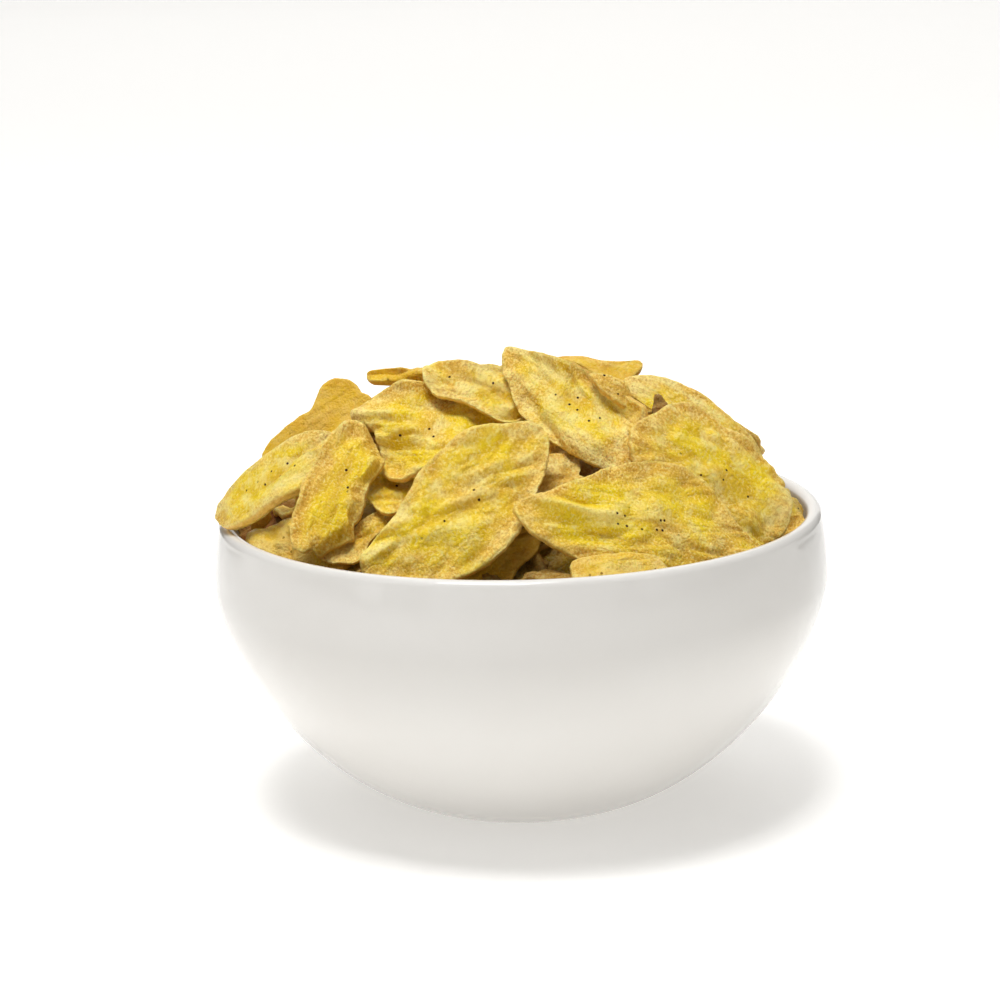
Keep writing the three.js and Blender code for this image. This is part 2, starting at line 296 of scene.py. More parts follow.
SLICE_INPUTS = {
    "Length": 0.05,
    "Width": 0.025,
    "Thickness": 0.0019,
    "From Curl": -0.2,
    "To Curl": -0.2,
    "Near Curl": 0.0,
    "Far Curl": 0.0,
    "Twist": 0.0,
    "Wave": 0.0009,
    "Crease": 0.0022,
    "Pleat": 0.0004,
    "Lip": 0.0001,
    "Near Lip": 0.0,
    "Ragged": 0.0006,
    "Seed": 1.0,
    "Tone": 0.0,
    "Dry": 0.0,
    "Gold And Shade": 0.0,
    "Scorch And Shade": 0.0,
}
STRAIGHT = 0.0005  # radians: so small a bend counts as none
FRAY_SIZE = 8 * MM  # sizes of what makes the sheet uneven
BROAD_SIZE = 19 * MM
FINE_SIZE = 6 * MM
PLEAT_SIZE = 3 * MM
FOLD_SIZE = 11 * MM
MARGIN = 3.5 * MM  # width of the margin that turns up
ROUNDING = 0.6 * MM  # how far in from its edge a slice gets thinner
SEED_SHIFT = 47 * MM  # how far apart two slices' patterns are taken


def bend(tree, share, curl, reach, lift):
    """Rolls a sheet about a line across it. Gives how far each point then reaches, and how high it stands."""
    turn = add(tree, MATH, share, curl, STRAIGHT, operation="MULTIPLY_ADD")
    sine = add(tree, MATH, turn, operation="SINE")
    cosine = add(tree, MATH, turn, operation="COSINE")
    radius = add(tree, MATH, reach, turn, operation="DIVIDE")
    inward = add(tree, MATH, lift, sine, operation="MULTIPLY")
    outward = add(tree, MATH, radius, sine, operation="MULTIPLY")
    reached = add(tree, MATH, outward, inward, operation="SUBTRACT")
    rise = add(tree, MATH, radius, add(tree, MATH, 1.0, cosine, operation="SUBTRACT"), operation="MULTIPLY")
    return reached, add(tree, MATH, lift, cosine, rise, operation="MULTIPLY_ADD")


def slice_tree():
    """Geometry nodes that make one slice of banana, lying along X with its outer face up. The mesh that they
    are put on is the slice's outline, from the left tip along its near side and back along its far side."""
    tree = bpy.data.node_groups.new("banana_slice", "GeometryNodeTree")
    tree.interface.new_socket("Outline", in_out="INPUT", socket_type="NodeSocketGeometry")
    for name, value in SLICE_INPUTS.items():
        tree.interface.new_socket(name, in_out="INPUT", socket_type="NodeSocketFloat").default_value = value
    for name in ("Points Round", "Rings"):
        tree.interface.new_socket(name, in_out="INPUT", socket_type="NodeSocketInt").default_value = 20
    tree.interface.new_socket("Material", in_out="INPUT", socket_type="NodeSocketMaterial")
    tree.interface.new_socket("Geometry", in_out="OUTPUT", socket_type="NodeSocketGeometry")
    given = add(tree, "NodeGroupInput").outputs

    # a flat round slab, with its rings drawn together towards the edge
    slab = add(tree, "GeometryNodeMeshCylinder", given["Points Round"], 3, given["Rings"], 1.0, 2.0,
               fill_type="TRIANGLE_FAN")
    x, y, z = add(tree, "ShaderNodeSeparateXYZ", add(tree, "GeometryNodeInputPosition")).outputs
    even = add(tree, VECTOR, add(tree, COMBINE, x, y), operation="LENGTH").outputs["Value"]
    from_edge = add(tree, MATH, add(tree, MATH, 1.0, even, operation="SUBTRACT"), 1.3, operation="POWER")
    rim = add(tree, MATH, 1.0, from_edge, operation="SUBTRACT")

    # its edge is drawn out to a smooth curve through the outline's points, and frays
    angle = add(tree, MATH, y, x, operation="ARCTAN2")
    share = add(tree, MATH, angle, 0.5 / math.pi, 0.5, operation="MULTIPLY_ADD")
    curve = add(tree, "GeometryNodeCurveSplineType", add(tree, "GeometryNodeMeshToCurve", given["Outline"]),
                spline_type="CATMULL_ROM")
    round_curve = {"Curves": curve.outputs[0], "Factor": share.outputs[0]}
    sample = add(tree, "GeometryNodeSampleCurve", named=round_curve, mode="FACTOR", use_all_curves=True)
    border = sample.outputs["Position"]
    heading = add(tree, VECTOR, border, operation="NORMALIZE")
    shift = add(tree, MATH, given["Seed"], SEED_SHIFT, operation="MULTIPLY")
    own_border = add(tree, VECTOR, border, add(tree, COMBINE, 0.0, 0.0, shift), operation="ADD")
    fray = add(tree, NOISE, own_border, named={"Scale": 1 / FRAY_SIZE, "Detail": 5.0, "Roughness": 0.7})
    fray_out = add(tree, MATH, add(tree, MATH, fray, 0.5, operation="SUBTRACT"), 4.0, operation="MULTIPLY")
    fray_out = add(tree, MATH, fray_out, given["Ragged"], operation="MULTIPLY")
    fray_step = add(tree, VECTOR, heading, named={"Scale": fray_out.outputs[0]}, operation="SCALE")
    frayed = add(tree, VECTOR, fray_step, border, operation="ADD")
    sheet = add(tree, VECTOR, frayed, named={"Scale": rim.outputs[0]}, operation="SCALE")
    along, across, _ = add(tree, "ShaderNodeSeparateXYZ", sheet).outputs
    edge = add(tree, MATH, add(tree, VECTOR, frayed, operation="LENGTH").outputs["Value"],
               add(tree, MATH, 1.0, rim, operation="SUBTRACT"), operation="MULTIPLY")

    # height of the sheet: broad waves, lumps, and pleats that run along it
    flat = add(tree, COMBINE, along, across, shift)
    broad = add(tree, NOISE, flat, named={"Scale": 1 / BROAD_SIZE, "Detail": 1.0})
    fine = add(tree, NOISE, flat, named={"Scale": 1 / FINE_SIZE, "Detail": 2.0})
    lengthwise = add(tree, VECTOR, flat, (0.25, 1.0, 1.0), operation="MULTIPLY")
    pleats = add(tree, NOISE, lengthwise, named={"Scale": 1 / PLEAT_SIZE, "Detail": 1.0, "Distortion": 0.4})
    broad_wave = add(tree, MATH, add(tree, MATH, broad, 0.5, operation="SUBTRACT"),
                     add(tree, MATH, given["Wave"], 4.0, operation="MULTIPLY"), operation="MULTIPLY")
    fine_wave = add(tree, MATH, add(tree, MATH, fine, 0.5, operation="SUBTRACT"), given["Wave"], broad_wave,
                    operation="MULTIPLY_ADD")
    pleat_height = add(tree, MATH, given["Pleat"], 3.0, operation="MULTIPLY")
    pleated = add(tree, MATH, add(tree, MATH, pleats, 0.5, operation="SUBTRACT"), pleat_height, fine_wave,
                  operation="MULTIPLY_ADD")
    skewed = add(tree, VECTOR, flat, (0.55, 1.0, 1.0), operation="MULTIPLY")
    folds = add(tree, NOISE, skewed, named={"Scale": 1 / FOLD_SIZE, "Detail": 1.5, "Distortion": 0.8})
    fold = add(tree, MATH, add(tree, MATH, folds, 0.5, operation="SUBTRACT"), operation="ABSOLUTE")
    creased = add(tree, MATH, fold, add(tree, MATH, given["Crease"], 4.0, operation="MULTIPLY"), pleated,
                  operation="MULTIPLY_ADD")

    # its margin turns up, here more and there less, and on the near side as far as it is told to
    margin = add(tree, RANGE, edge, 0.0, MARGIN, 1.0, 0.0, interpolation_type="SMOOTHSTEP")
    near = add(tree, RANGE, across, -0.003, 0.001, given["Near Lip"], 0.0, interpolation_type="SMOOTHSTEP")
    uneven = add(tree, MATH, broad, 2.0, operation="MULTIPLY")
    lip = add(tree, MATH, uneven, given["Lip"], near, operation="MULTIPLY_ADD")
    relief = add(tree, MATH, margin, lip, creased, operation="MULTIPLY_ADD")

    # thickness, rounded off at the edge
    half_thick = add(tree, MATH, given["Thickness"], 0.5, operation="MULTIPLY")
    thin = add(tree, RANGE, edge, 0.0, ROUNDING, 0.88, 1.0, interpolation_type="SMOOTHSTEP")
    face = add(tree, MATH, add(tree, MATH, z, half_thick, operation="MULTIPLY"), thin, operation="MULTIPLY")
    lift = add(tree, MATH, face, relief, operation="ADD")
    z_squared = add(tree, MATH, add(tree, MATH, z, z, operation="MULTIPLY"), 1.0, operation="MINIMUM")
    wall = add(tree, MATH, 1.0, z_squared, operation="SUBTRACT")
    bulge = add(tree, MATH, add(tree, MATH, wall, operation="SQRT"),
                add(tree, MATH, half_thick, 0.22, operation="MULTIPLY"), operation="MULTIPLY")
    ahead, aside, _ = add(tree, "ShaderNodeSeparateXYZ", heading).outputs
    along_out = add(tree, MATH, ahead, bulge, along, operation="MULTIPLY_ADD")
    across_out = add(tree, MATH, aside, bulge, across, operation="MULTIPLY_ADD")

    # the sheet curls up along its two long sides, then towards its two tips, and twists
    half_length = add(tree, MATH, given["Length"], 0.5, operation="MULTIPLY")
    half_width = add(tree, MATH, given["Width"], 0.5, operation="MULTIPLY")
    u = add(tree, MATH, along, half_length, operation="DIVIDE")
    v = add(tree, MATH, across, half_width, operation="DIVIDE")
    side = add(tree, RANGE, v, -0.4, 0.4, given["Near Curl"], given["Far Curl"],
               interpolation_type="SMOOTHSTEP")
    end = add(tree, RANGE, u, -0.4, 0.4, given["From Curl"], given["To Curl"],
              interpolation_type="SMOOTHSTEP")
    y_rolled, z_rolled = bend(tree, v, side, across_out, lift)
    x_bent, z_bent = bend(tree, u, end, along_out, z_rolled)
    twist = add(tree, MATH, u, given["Twist"], operation="MULTIPLY")
    twisted = add(tree, "ShaderNodeVectorRotate", rotation_type="X_AXIS", named={
        "Vector": add(tree, COMBINE, x_bent, y_rolled, z_bent).outputs[0], "Angle": twist.outputs[0]})

    # what the material reads: the place on the slice, the way to its edge, how much of the side wall it is,
    # and how far it stands up in a ridge (from about -1 to 1)
    ridge = add(tree, MATH, add(tree, MATH, pleats, 0.5, operation="SUBTRACT"), 3.0, operation="MULTIPLY")
    ridge = add(tree, MATH, add(tree, MATH, fold, 0.1, operation="SUBTRACT"), 4.0, ridge,
                operation="MULTIPLY_ADD")
    under = add(tree, MATH, z, 0.0015, shift, operation="MULTIPLY_ADD")
    pattern = add(tree, COMBINE, along, across, under)
    kept = slab.outputs["Mesh"]
    for name, source, kind in (
        ("flat", pattern.outputs[0], "FLOAT_VECTOR"),
        ("edge", edge.outputs[0], "FLOAT"),
        ("wall", wall.outputs[0], "FLOAT"),
        ("tone", given["Tone"], "FLOAT"),
        ("dry", given["Dry"], "FLOAT"),
        ("gold_and_shade", given["Gold And Shade"], "FLOAT"),
        ("scorch_and_shade", given["Scorch And Shade"], "FLOAT"),
        ("ridge", ridge.outputs[0], "FLOAT"),
    ):
        kept = add(tree, "GeometryNodeStoreNamedAttribute", data_type=kind, domain="POINT",
                   named={"Geometry": kept, "Name": name, "Value": source}).outputs[0]
    moved = add(tree, "GeometryNodeSetPosition", named={"Geometry": kept, "Position": twisted.outputs[0]})
    smooth = add(tree, "GeometryNodeSetShadeSmooth", moved)
    real = add(tree, "GeometryNodeRealizeInstances", smooth)
    coated = {"Geometry": real.outputs[0], "Material": given["Material"]}
    done = add(tree, "GeometryNodeSetMaterial", named=coated)
    add(tree, "NodeGroupOutput", done)
    return tree


SLICE_TREE = slice_tree()
SLICE_SOCKETS = {
    item.name: item.identifier for item in SLICE_TREE.interface.items_tree if item.in_out == "INPUT"
}


def corners(mesh):
    places = np.empty(len(mesh.vertices) * 3)
    mesh.vertices.foreach_get("co", places)
    return places.reshape(-1, 3)


def put_corners(mesh, places):
    mesh.vertices.foreach_set("co", np.ascontiguousarray(places).ravel())
    mesh.update()


def slice_axes(start, end, lean):
    """Along the slice, across it and out of its face. A positive lean turns the face of a slice that runs
    from left to right towards the viewer."""
    along = (end - start) / np.linalg.norm(end - start)
    level = np.cross((0, 0, 1), along)
    level /= np.linalg.norm(level)
    up = np.cross(along, level)
    turn = math.radians(lean)
    across = level * math.cos(turn) + up * math.sin(turn)
    return along, across, np.cross(along, across)


def slice_mesh(name, outline, values, fineness, start, end, lean):
    """A mesh of one slice in its place. The outline's points are mm along and across from the left tip."""
    border = np.array(outline) * MM
    low, high = border.min(0), border.max(0)
    middle = (low + high) / 2
    seat = bpy.data.meshes.new(name + "_outline")
    count = len(border)
    sides = [(i, (i + 1) % count) for i in range(count)]
    seat.from_pydata([(u, v, 0) for u, v in border - middle], sides, [])
    holder = bpy.data.objects.new(name, seat)
    bpy.context.collection.objects.link(holder)
    nodes = holder.modifiers.new("slice", "NODES")
    nodes.node_group = SLICE_TREE
    inputs = {**SLICE_INPUTS, **values, "Material": BANANA}
    inputs["Length"], inputs["Width"] = (float(v) for v in high - low)
    inputs["Points Round"], inputs["Rings"] = fineness
    for key, value in inputs.items():
        nodes[SLICE_SOCKETS[key]] = value
    holder.update_tag()
    bpy.context.view_layer.update()
    mesh = bpy.data.meshes.new_from_object(holder.evaluated_get(bpy.context.evaluated_depsgraph_get()))
    bpy.data.objects.remove(holder)
    bpy.data.meshes.remove(seat)
    mesh.name = name

    # the bent slice is set back level, with its two ends where the outline has them
    places = corners(mesh)
    left, right = places[places[:, 0].argmin()], places[places[:, 0].argmax()]
    chord = right - left
    stretch = (high[0] - low[0]) / np.hypot(chord[0], chord[2])
    tilt = math.atan2(chord[2], chord[0])
    x, z = places[:, 0] - left[0], places[:, 2] - left[2]
    level_x = low[0] + (x * math.cos(tilt) + z * math.sin(tilt)) * stretch
    level_z = z * math.cos(tilt) - x * math.sin(tilt)
    along, across, out = slice_axes(start, end, lean)
    put_corners(mesh, start * MM + level_x[:, None] * along + (places[:, 1:2] + middle[1]) * across
                + level_z[:, None] * out)
    return mesh


# ---------------------------------------------------------------- the bowl

BELLY_RADIUS = 75 * MM
BELLY_HEIGHT = 55.5 * MM
ROUNDNESS = 1.57  # exponent of the wall's curve from the foot to the belly
FOOT_RADIUS = 24 * MM
FOOT_RING = 3 * MM
FOOT_HOLLOW = 1.4 * MM
WALL = 4.6 * MM
FLOOR = 6.5 * MM
FLOOR_RADIUS = 20 * MM
LIP_RADIUS = 1.85 * MM
LIP_CENTRE = 71.65 * MM
LIP_HEIGHT = 70.5 * MM
BOWL_SEGMENTS = 180
OUTER_STEPS, OUTER_TUCK_STEPS = 56, 14
INNER_STEPS, INNER_TUCK_STEPS = 40, 12
LIP_STEPS = 16


def wall_curve(middle, low, belly, count):
    """The curve of a wall from its flat middle out to the belly."""
    for i in range(count + 1):
        angle = i / count * math.pi / 2
        out = math.sin(angle) ** (2 / ROUNDNESS)
        up = 1 - math.cos(angle) ** (2 / ROUNDNESS)
        yield middle + (belly - middle) * out, low + (BELLY_HEIGHT - low) * up


def tucked_curve(belly, rim, count):
    """Above the belly the wall leans in towards the rim."""
    for i in range(1, count):
        t = i / count
        yield belly + (rim - belly) * t * t, BELLY_HEIGHT + (LIP_HEIGHT - BELLY_HEIGHT) * t


def lip_curve(count):
    """The rim, a half-round bead."""
    for i in range(count + 1):
        angle = i / count * math.pi
        yield LIP_CENTRE + LIP_RADIUS * math.cos(angle), LIP_HEIGHT + LIP_RADIUS * math.sin(angle)


def bowl():
    """The round bowl: its foot ring, wall, rim and inside as one turned shell."""
    inside = list(wall_curve(FLOOR_RADIUS, FLOOR, BELLY_RADIUS - WALL, INNER_STEPS))
    inside += tucked_curve(BELLY_RADIUS - WALL, LIP_CENTRE - LIP_RADIUS, INNER_TUCK_STEPS)
    profile = [
        (FOOT_RADIUS - FOOT_RING - FOOT_HOLLOW, FOOT_HOLLOW),
        (FOOT_RADIUS - FOOT_RING, 0),
        *wall_curve(FOOT_RADIUS, 0, BELLY_RADIUS, OUTER_STEPS),
        *tucked_curve(BELLY_RADIUS, LIP_CENTRE + LIP_RADIUS, OUTER_TUCK_STEPS),
        *lip_curve(LIP_STEPS),
        *reversed(inside),
    ]
    shell = bmesh.new()
    rings = []
    for radius, height in profile:
        ring = []
        for i in range(BOWL_SEGMENTS):
            angle = i / BOWL_SEGMENTS * 2 * math.pi
            ring.append(shell.verts.new((radius * math.cos(angle), radius * math.sin(angle), height)))
        rings.append(ring)
    under = shell.verts.new((0, 0, FOOT_HOLLOW))
    floor = shell.verts.new((0, 0, FLOOR))
    for i in range(BOWL_SEGMENTS):
        j = (i + 1) % BOWL_SEGMENTS
        shell.faces.new((under, rings[0][j], rings[0][i]))
        shell.faces.new((floor, rings[-1][i], rings[-1][j]))
        for low, high in zip(rings, rings[1:]):
            shell.faces.new((low[i], low[j], high[j], high[i]))
    made = piece("bowl_shell", shell, GLAZE, "bowl")
    remember(made.data)


def piece(name, shape, material, node):
    """A finished piece from a bmesh or a mesh, riding on the one body and standing for a node."""
    if isinstance(shape, bmesh.types.BMesh):
        mesh = bpy.data.meshes.new(name)
        shape.to_mesh(mesh)
        shape.free()
        mesh.materials.append(material)
    else:
        mesh = shape
    mesh.shade_smooth()
    made = bpy.data.objects.new(name, mesh)
    bpy.context.collection.objects.link(made)
    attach(made, "root")
    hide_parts(node)
    return made


# ---------------------------------------------------------------- how the slices lie on each other

REACH = 18 * MM  # how far inside the heap the search for what lies on a slice begins
MOST_PUSH = 12 * MM
PRESSED_WHOLE = 0.8  # the share of a slice that the press as a whole brings clear
CLEARANCE = 0.5 * MM
SPREAD = 6 * MM  # how widely a slice bends where it is pressed
STEEP = 38  # degrees: slices that lean more are pressed back, and the others down
BACK = np.array((0, 0.96, -0.28))

settled = []  # everything that lies on the slices still to come: its faces, lowest and highest corner


def remember(mesh):
    places = corners(mesh)
    faces = [tuple(f.vertices) for f in mesh.polygons]
    settled.append((BVHTree.FromPolygons([Vector(p) for p in places], faces), places.min(0), places.max(0)))


def pressed(places, push, above):
    """How far along push each corner has to go to lie under everything above it."""
    need = np.zeros(len(places))
    inward = Vector(push)
    for k, place in enumerate(places):
        start = Vector(place) + inward * REACH
        for faces in above:
            distance = faces.ray_cast(start, -inward, 2 * REACH)[3]
            if distance is None:
                continue
            short = REACH + CLEARANCE - distance
            if need[k] < short < MOST_PUSH:
                need[k] = short
    return need


def settle(mesh, push, walls=True):
    """Presses a slice under the slices that are there already, and away from the bowl's wall: first as a
    whole, and then by bending it where that isn't enough."""
    places = corners(mesh)
    low, high = places.min(0) - REACH, places.max(0) + REACH
    there = settled if walls else settled[1:]
    above = [faces for faces, lowest, highest in there if (lowest < high).all() and (highest > low).all()]
    flat = np.empty(len(places) * 3)
    mesh.attributes["flat"].data.foreach_get("vector", flat)
    flat = flat.reshape(-1, 3)[:, :2]
    need = pressed(places, push, above)
    shift = np.quantile(need, PRESSED_WHOLE)
    rest = need - shift
    tight = np.flatnonzero(rest > 0)[::3]
    bent = np.zeros(len(places))
    for k in tight:
        reach = ((flat - flat[k]) ** 2).sum(1)
        bent = np.maximum(bent, rest[k] * np.exp(-reach / (2 * SPREAD**2)))
    put_corners(mesh, places + (shift + bent)[:, None] * push)
    remember(mesh)


# ---------------------------------------------------------------- the slices that show

# Topmost first. Each is the two ends of its middle line (mm), its lean (degrees), and its outline (mm along
# that line and across it) from the left tip along the near side and back along the far side.
SHOWN_SLICES = {
    "slice_front_curl": ((11, -64, 72), (33, -60, 72), 42, (
        (0, 0.5), (0.5, -3), (3.5, -6.5), (11, -9), (18, -7), (22, -1.5), (21, 1.5), (20, 2.5), (17, 3.5),
        (12.5, 4.5), (6.5, 4), (1.5, 3),
    )),
    "slice_front_right": ((-2, -57, 84), (56, -38, 70), 58, (
        (0.5, 1.5), (4, -4), (7, -6), (11, -8), (14.5, -10), (21.5, -14), (34, -13.5), (47.5, -8.5),
        (58, -3.5), (63, -0.5), (59, 2), (55, 4.5), (52.5, 8), (48.5, 12), (44, 14), (39.5, 15.5),
        (34, 16), (27, 14.5), (21, 12.5), (16.5, 9.5), (8.5, 6),
    )),
    "slice_right_broad": ((26, -34, 95), (63, -26, 71), 52, (
        (-1, 1), (2.5, -5.5), (11, -10.5), (24.5, -12.5), (37.5, -10.5), (42, -6.5), (44.5, -1), (43.5, 5),
        (41, 10.5), (36, 13.5), (28.5, 16), (21, 16.5), (16, 17.5), (11, 17.5), (7, 15), (3, 10), (0, 5.5),
    )),
    "slice_right_torn": ((32, -29, 103), (36, -29, 103), 60, (
        (-0.5, 0), (0, -2.5), (2, -3.5), (3.5, -1.5), (3.5, 1.5), (1.5, 3), (0, 2.5),
    )),
    "slice_left_standing": ((-49, -45, 73), (-35, -27, 99), 28, (
        (-0.5, 2), (-0.5, 0.5), (1, -0.5), (0.5, -2.5), (3.5, -4.5), (6, -6.5), (7.5, -8), (10.5, -7),
        (13, -7.5), (18.5, -6.5), (23.5, -6.5), (28, -7), (31, -5), (33.5, -2), (34.5, 1), (34, 4),
        (30.5, 6), (27, 7), (22, 7.5), (15.5, 8), (12, 7), (7, 6.5), (3, 5.5), (0, 3.5),
    )),
    "slice_front_left": ((-36, -54, 71), (7, -42, 97), 60, (
        (0.5, 2), (-0.5, -2.5), (4.5, -9), (11.5, -14), (19.5, -15.5), (25.5, -16), (30.5, -15),
        (34.5, -13.5), (40.5, -10), (47.5, -5), (52.5, 1), (51, 6), (45.5, 9), (41, 11), (35.5, 12.5),
        (29, 11.5), (22, 10), (13, 5.5), (5, 3.5),
    )),
    "slice_top_flap": ((17, -19, 107), (32, -25, 100), 50, (
        (-0.5, 1), (3.5, -1), (7.5, -2), (11.5, -2.5), (14.5, -1.5), (18, 0.5), (14.5, 1), (11, 1.5),
        (8, 3), (4.5, 3), (1.5, 2.5),
    )),
    "slice_top": ((-3, -8, 111), (24, -34, 92), 56, (
        (-1, 0.5), (3, -3), (7, -4.5), (14, -7.5), (18.5, -8), (23.5, -8.5), (29.5, -8), (35, -7),
        (40, -6), (44.5, -3.5), (48.5, 1.5), (47, 8), (41.5, 12.5), (34, 13), (26, 11.5), (19, 10),
        (11.5, 7.5), (4.5, 5), (-0.5, 2.5),
    )),
    "slice_top_left": ((-21, -14, 108), (2, -26, 101), 52, (
        (-0.5, -0.5), (2, -3.5), (6, -5), (11, -4), (15.5, -4), (22, -5), (25.5, -4.5), (29, -2),
        (31.5, 2.5), (25, 8), (18, 10), (10, 8), (4.5, 6), (0, 4), (-1.5, 2),
    )),
    "slice_on_rim": ((-73, -12, 75), (-43, -29, 96), 48, (
        (0.5, -0.5), (2, -4.5), (6.5, -8.5), (12.5, -10.5), (21.5, -11), (29.5, -11.5), (37.5, -11.5),
        (44.5, -9), (46, -4.5), (40.5, 1.5), (34, 3.5), (28, 4), (21.5, 4), (15.5, 3.5), (7, 2),
    )),
    "slice_middle_left": ((-39, -22, 99), (-3, -29, 98), 52, (
        (-0.5, 0.5), (5, -2.5), (8.5, -8), (10, -14), (13.5, -16), (17, -15), (20.5, -13), (26, -10),
        (33.5, -5), (37, -1.5), (37, 2.5), (30, 6.5), (22.5, 9), (16.5, 10), (11.5, 10.5), (8, 9.5),
        (4, 7), (0.5, 4),
    )),
    "slice_middle_broken": ((-4, -45, 87), (15, -38, 89), 56, (
        (-5, 1), (-1, -5.5), (7.5, -9.5), (16.5, -9), (22.5, -4), (19, -0.5), (20, 3), (18, 6.5), (14, 9),
        (7.5, 9), (0, 6),
    )),
    "slice_front_low": ((-3, -61, 68), (19, -58, 67), 45, (
        (-1, -0.5), (2.5, -4.5), (11, -6.5), (20.5, -4.5), (23, 0.5), (19, 3.5), (15, 3.5), (12, 4),
        (9.5, 4.5), (7, 4), (4.5, 3), (1, 1),
    )),
    "slice_front_under": ((-27, -54, 71), (6, -45, 81), 58, (
        (-1.5, 1.5), (4, -7), (14, -12.5), (21.5, -12), (25.5, -9.5), (29.5, -8.5), (32.5, -6),
        (36.5, -0.5), (37, 7), (28, 9), (14.5, 6.5), (4, 4.5),
    )),
    "slice_left_inner": ((-35, -36, 85), (-16, -36, 85), 50, (
        (-1.5, 0.5), (1.5, -4.5), (4.5, -6.5), (8.5, -5.5), (15.5, -4.5), (21.5, -0.5), (19, 5), (12, 7.5),
        (4.5, 6.5), (0, 4),
    )),
    "slice_left_low": ((-47, -50, 73), (-27, -44, 81), 58, (
        (0.5, 1), (1.5, -1.5), (5, -4), (9, -5), (12, -3), (17.5, -0.5), (22.5, 0), (23, 2), (20, 3.5),
        (16.5, 4), (12.5, 3), (8.5, 1.5), (4, 1),
    )),
    "slice_left_rim": ((-64, -22, 71), (-40, -48, 71), 52, (
        (-1, 0.5), (2.5, -2), (15, -3.5), (25, -3.5), (30.5, -3.5), (36, -1.5), (36, 2), (30, 5),
        (21, 6.5), (11.5, 6), (6.5, 2.5), (0.5, 2),
    )),
    "slice_left_edge": ((-64, -24, 72), (-60, -22, 76), 62, (
        (1, 1), (-0.5, -1.5), (0.5, -2), (3, -1), (6.5, -0.5), (7.5, 1.5), (5, 2.5), (3, 2.5),
    )),
    "slice_left_deep": ((-69, 0, 65), (-47, -10, 74), 30, (
        (-1.5, 2.5), (10, -9), (23, -15), (31, -11), (27.5, 0), (13, 9), (1.5, 7.5),
    )),
    "slice_right_rim": ((57, -26, 68), (69, -12, 70), 40, (
        (-7.5, 3), (-4.5, -3.5), (1.5, -3), (12, -2), (17.5, -0.5), (20.5, 2.5), (21, 6), (20, 9.5),
        (9.5, 10.5), (-0.5, 8),
    )),
    "slice_right_skyline": ((26, -10, 102), (66, -14, 76), 36, (
        (-2, 2), (3, -6), (12, -8), (25, -10), (37.5, -10.5), (47.5, -6.5), (49, 0), (46.5, 4.5), (42, 5),
        (36.5, 6.5), (31, 7.5), (26, 8), (20.5, 9), (15.5, 10), (9.5, 9.5), (4, 8), (-0.5, 5.5),
    )),
    "slice_stick": ((-36, -6, 106), (-11, -10, 106), 60, (
        (0, 0.5), (1, -1), (4.5, -1.5), (11, -1.5), (16.5, -1.5), (25.5, -2.5), (27.5, -0.5), (25, 1.5),
        (16, 2), (8, 2), (1.5, 1.5),
    )),
    "slice_left_skyline": ((-61, -8, 87), (-35, -12, 102), 58, (
        (-0.5, 0.5), (1, -5.5), (10.5, -8), (20, -8.5), (27.5, -7.5), (31, -4), (30.5, 0), (29, 2.5),
        (28, 5.5), (26, 8), (23.5, 9), (20.5, 8.5), (18, 6), (16, 4), (12.5, 4), (8, 4), (3.5, 3.5),
        (1, 2.5),
    )),
    "slice_top_right_edge": ((10, -2, 108), (31, 2, 106), 14, (
        (-0.5, 2), (4.5, -2.5), (8.5, -5.5), (11, -8.5), (14, -11), (17, -5.5), (21.5, 0), (21.5, 3),
        (17, 1), (11.5, 0), (6.5, 1.5),
    )),
}

